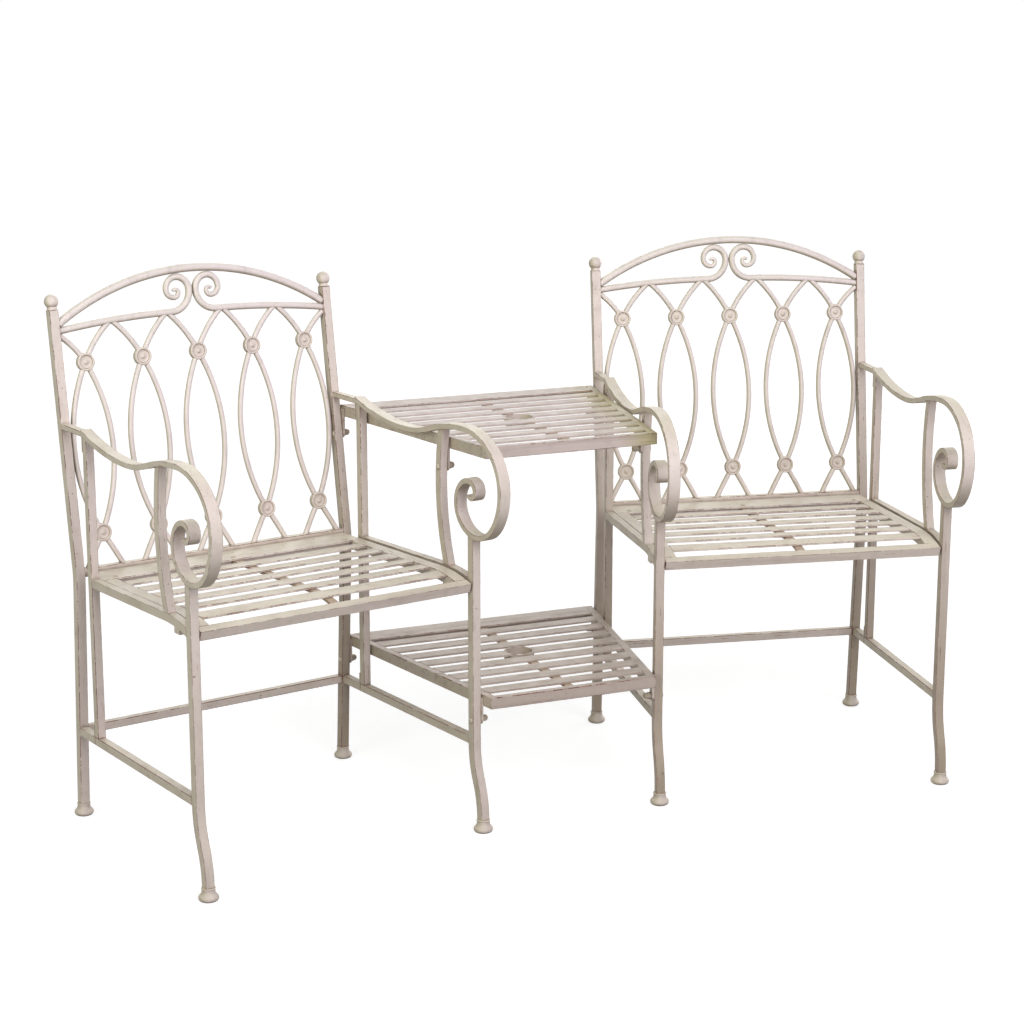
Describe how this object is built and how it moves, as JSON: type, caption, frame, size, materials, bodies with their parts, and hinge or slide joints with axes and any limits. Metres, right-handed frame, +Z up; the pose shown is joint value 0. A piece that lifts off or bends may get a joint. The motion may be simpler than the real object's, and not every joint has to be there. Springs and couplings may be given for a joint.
{
  "type": "garden bench with table",
  "caption": "Metal garden companion seat: two slatted armchairs with lattice backs and scrolled arms, joined by a tapered slatted table and a lower shelf with parasol holes.",
  "frame": {"origin": "centre of the bounding box in X and Y, at floor level", "axes": "+X to the viewer's right along the set's length, -Y towards the front of the seats, +Y towards the backs, +Z up"},
  "size_m": [1.578, 0.6761, 0.9318],
  "materials": {
    "cream_paint": "satin antique cream paint with dark chips and scratches along the edges",
    "aged_cream_paint": "the same paint, duller and dirtier on the undersides and low parts",
    "worn_hardware": "painted screws, bolts and cap nuts with worn, rusty heads"
  },
  "bodies": {
    "root": {"left_back_post_outer": "cream_paint", "left_back_post_inner": "cream_paint", "left_back_arch": "cream_paint", "left_scroll_rails": "cream_paint", "left_back_lattice": "cream_paint", "left_back_bottom_rail": "cream_paint", "left_rear_stretcher": "aged_cream_paint", "left_arm_outer": "cream_paint", "left_arm_inner": "cream_paint", "left_front_leg_outer": "cream_paint", "left_front_leg_inner": "cream_paint", "left_rear_uprights": "cream_paint", "left_mid_uprights": "cream_paint", "left_seat_frame": "aged_cream_paint", "left_side_stretchers": "aged_cream_paint", "left_seat_front_rail": "cream_paint", "left_seat_side_tubes": "cream_paint", "left_seat_rear_band": "cream_paint", "left_seat_slats": "cream_paint", "left_seat_centre_bar": "aged_cream_paint", "right_back_post_outer": "cream_paint", "right_back_post_inner": "cream_paint", "right_back_arch": "cream_paint", "right_scroll_rails": "cream_paint", "right_back_lattice": "cream_paint", "right_back_bottom_rail": "cream_paint", "right_rear_stretcher": "aged_cream_paint", "right_arm_outer": "cream_paint", "right_arm_inner": "cream_paint", "right_front_leg_outer": "cream_paint", "right_front_leg_inner": "cream_paint", "right_rear_uprights": "cream_paint", "right_mid_uprights": "cream_paint", "right_seat_frame": "aged_cream_paint", "right_side_stretchers": "aged_cream_paint", "right_seat_front_rail": "cream_paint", "right_seat_side_tubes": "cream_paint", "right_seat_rear_band": "cream_paint", "right_seat_slats": "cream_paint", "right_seat_centre_bar": "aged_cream_paint", "rosettes": "cream_paint", "finials": "cream_paint", "feet": "aged_cream_paint", "frame_ties": "cream_paint", "tie_screws": "worn_hardware", "seat_screws": "worn_hardware", "table_rear_rail": "cream_paint", "table_front_rail": "cream_paint", "table_side_rails": "cream_paint", "table_slats": "cream_paint", "table_parasol_ring": "cream_paint", "shelf_rear_rail": "cream_paint", "shelf_front_rail": "cream_paint", "shelf_side_rails": "cream_paint", "shelf_slats": "cream_paint", "shelf_parasol_ring": "cream_paint", "centre_bars": "aged_cream_paint", "table_tabs": "cream_paint", "table_bolts": "worn_hardware", "cap_nuts": "worn_hardware"}
  },
  "joints": []
}
